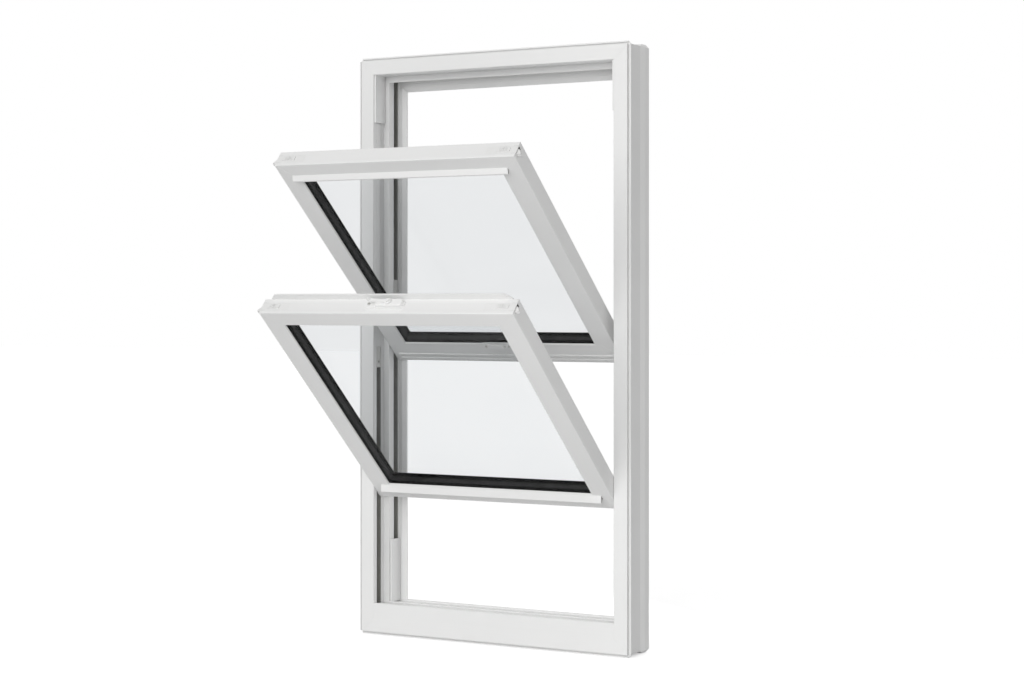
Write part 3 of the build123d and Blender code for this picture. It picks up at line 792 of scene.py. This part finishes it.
# one screw head, copied to the lock, the keeper and the coils
screwSet = {"radius": 2.9 * mm, "corners": 28, "height": 1.5 * mm, "crown": 0.5 * mm,
            "crownRise": 0.3 * mm, "slot": 0.8 * mm, "slotLength": 3.625 * mm, "sink": 0.9 * mm,
            "round": 0.12 * mm}
bpy.ops.object.select_all(action="DESELECT")
bpy.ops.mesh.primitive_cylinder_add(vertices=screwSet["corners"], radius=screwSet["radius"],
                                    depth=screwSet["height"], location=(0, 0, screwSet["height"] / 2))
screwHead = bpy.context.object
editFaces(screwHead, lambda normal: normal.z)
bpy.ops.mesh.inset(thickness=screwSet["crown"], depth=screwSet["crownRise"])
bpy.ops.object.mode_set(mode="OBJECT")
cutterSize = (screwSet["slotLength"], screwSet["slot"], screwSet["sink"] * 2)
for turn in (0, 90):
    cutter = addBox(cutterSize, (0, 0, screwSet["height"] + screwSet["crownRise"]))
    bpy.ops.transform.rotate(value=math.radians(turn), orient_axis="Z", center_override=(0, 0, 0))
    onlyThis(screwHead)
    cut = screwHead.modifiers.new("cross", "BOOLEAN")
    cut.operation = "DIFFERENCE"
    cut.solver = "EXACT"
    cut.object = cutter
    bpy.ops.object.modifier_apply(modifier=cut.name)
    bpy.data.objects.remove(cutter)
bevelAll(screwHead, screwSet["round"], 1)

lockPlate = 2.5 * mm
screwPlaces = {
    "lower_lock_screw_left": ("lower", (-33 * mm, 20 * mm, sashSet["lower"]["body"] + lockPlate), 0),
    "upper_keeper_screw_left": ("upper", (-26 * mm, -2 * mm, 25 * mm), math.radians(90)),
    "upper_keeper_screw_right": ("upper", (26 * mm, -2 * mm, 25 * mm), math.radians(90)),
}
for name, (sashName, place, turn) in screwPlaces.items():
    seat = sashSet[sashName]["seat"] @ Matrix.Translation(place) @ Matrix.Rotation(turn, 4, "X")
    settle(copyPiece(screwHead), name, screwSteel, seat)

coilScrews = {"sink": 10 * mm, "rise": 11 * mm}
for side, sign in sides.items():
    for track in tracks:
        coil = side + "_" + track + "_coil"
        low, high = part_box(coil)
        x = channelWall(coil, sign) + sign * coilScrews["sink"]
        place = Matrix.Translation((x, (low.y + high.y) / 2, low.z + coilScrews["rise"]))
        seat = place @ Matrix.Rotation(math.radians(-90 * sign), 4, "Y")
        settle(copyPiece(screwHead), coil + "_screw", screwSteel, seat)
bpy.data.objects.remove(screwHead)
print("screws fitted")


# spring tapes that run from each coil down to its shoe, curled across their width
tapeSet = {"width": 11 * mm, "thick": 0.4 * mm, "behind": 5 * mm, "curl": 1.2 * mm, "pick": 0.5 * mm}
for side, sign in sides.items():
    for track in tracks:
        channel = side + "_" + track
        coilLow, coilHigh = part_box(channel + "_coil")
        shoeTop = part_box(channel + "_shoe")[1].z
        x = channelWall(channel + "_shoe", sign) + sign * tapeSet["behind"]
        y = (coilLow.y + coilHigh.y) / 2
        length = coilLow.z - shoeTop
        tape = addBox((tapeSet["thick"], tapeSet["width"], length), (x, y, shoeTop + length / 2))
        editFaces(tape, lambda normal: abs(normal.x))
        bpy.ops.mesh.subdivide(number_cuts=1)
        editVertices(tape, y, tapeSet["pick"])
        bpy.ops.transform.translate(value=(sign * tapeSet["curl"], 0, 0))
        bpy.ops.object.mode_set(mode="OBJECT")
        settle(tape, channel + "_spring_tape", springSteel)
print("spring tapes fitted")


# weld lines where the corners are joined
weldSet = {
    "width": 0.9 * mm, "rise": 0.16 * mm, "roundShare": 0.9,
    "frame": {"outer": 299 * mm, "inner": 270 * mm, "height": 1168 * mm, "from": 6 * mm, "to": 35 * mm},
    "sash": {"from": 2.2 * mm, "short": 1.6 * mm},
}


def weldLine(start, end):
    # a thin flattened bead from one point to another on a face that looks into the room
    run = Vector(end) - Vector(start)
    facing = Vector((0, -1, 0))
    bead = addBox((run.length, weldSet["width"], 2 * weldSet["rise"]), (run.length / 2, 0, 0))
    bevelAll(bead, weldSet["rise"] * weldSet["roundShare"], 2)
    along = run.normalized()
    turn = Matrix((along, facing.cross(along), facing)).transposed().to_4x4()
    bead.matrix_world = Matrix.Translation(start) @ turn
    return bead


corner = weldSet["frame"]
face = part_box("left_jamb")[0].y
beads = []
for sign in sides.values():
    for base, rise in ((0, 1), (corner["height"], -1)):
        start = (sign * corner["outer"], face, base + rise * corner["from"])
        end = (sign * corner["inner"], face, base + rise * corner["to"])
        beads.append(weldLine(start, end))
settle(joinPieces(beads), "frame_weld_lines", frameUpright)
for sashName, setup in sashSet.items():
    beads = []
    half = setup["width"] / 2
    near = weldSet["sash"]["from"]
    for sign in sides.values():
        for base, rise, rail in ((0, 1, setup["bottom"]), (setup["body"], -1, setup["top"])):
            far = min(rail, setup["stile"]) - weldSet["sash"]["short"]
            start = (sign * (half - near), 0, base + rise * near)
            end = (sign * (half - far), 0, base + rise * far)
            beads.append(weldLine(start, end))
    finish = sashFinish[sashName]["stile"]
    settle(joinPieces(beads), sashName + "_weld_lines", finish, setup["seat"])
print("weld lines done")


# finger grips beside the ridge of each latch button
gripSet = {"bar": (0.8 * mm, 8.2 * mm, 0.8 * mm), "step": 2.2 * mm, "count": 3, "gap": 3.0 * mm,
           "place": 16 * mm, "inset": 27 * mm, "rise": 1.6 * mm, "round": 0.25 * mm}
for sashName, setup in sashSet.items():
    for side, sign in sides.items():
        middle = sign * (setup["width"] / 2 - gripSet["inset"])
        z = setup["body"] + gripSet["rise"]
        bars = []
        for number in range(gripSet["count"]):
            reach = gripSet["gap"] + number * gripSet["step"]
            for way in (-1, 1):
                bars.append(addBox(gripSet["bar"], (middle + way * reach, gripSet["place"], z)))
        grip = joinPieces(bars)
        bevelAll(grip, gripSet["round"], 2)
        settle(grip, sashName + "_" + side + "_latch_grip", latchPlastic, setup["seat"])
print("latch grips done")

print("window finished")
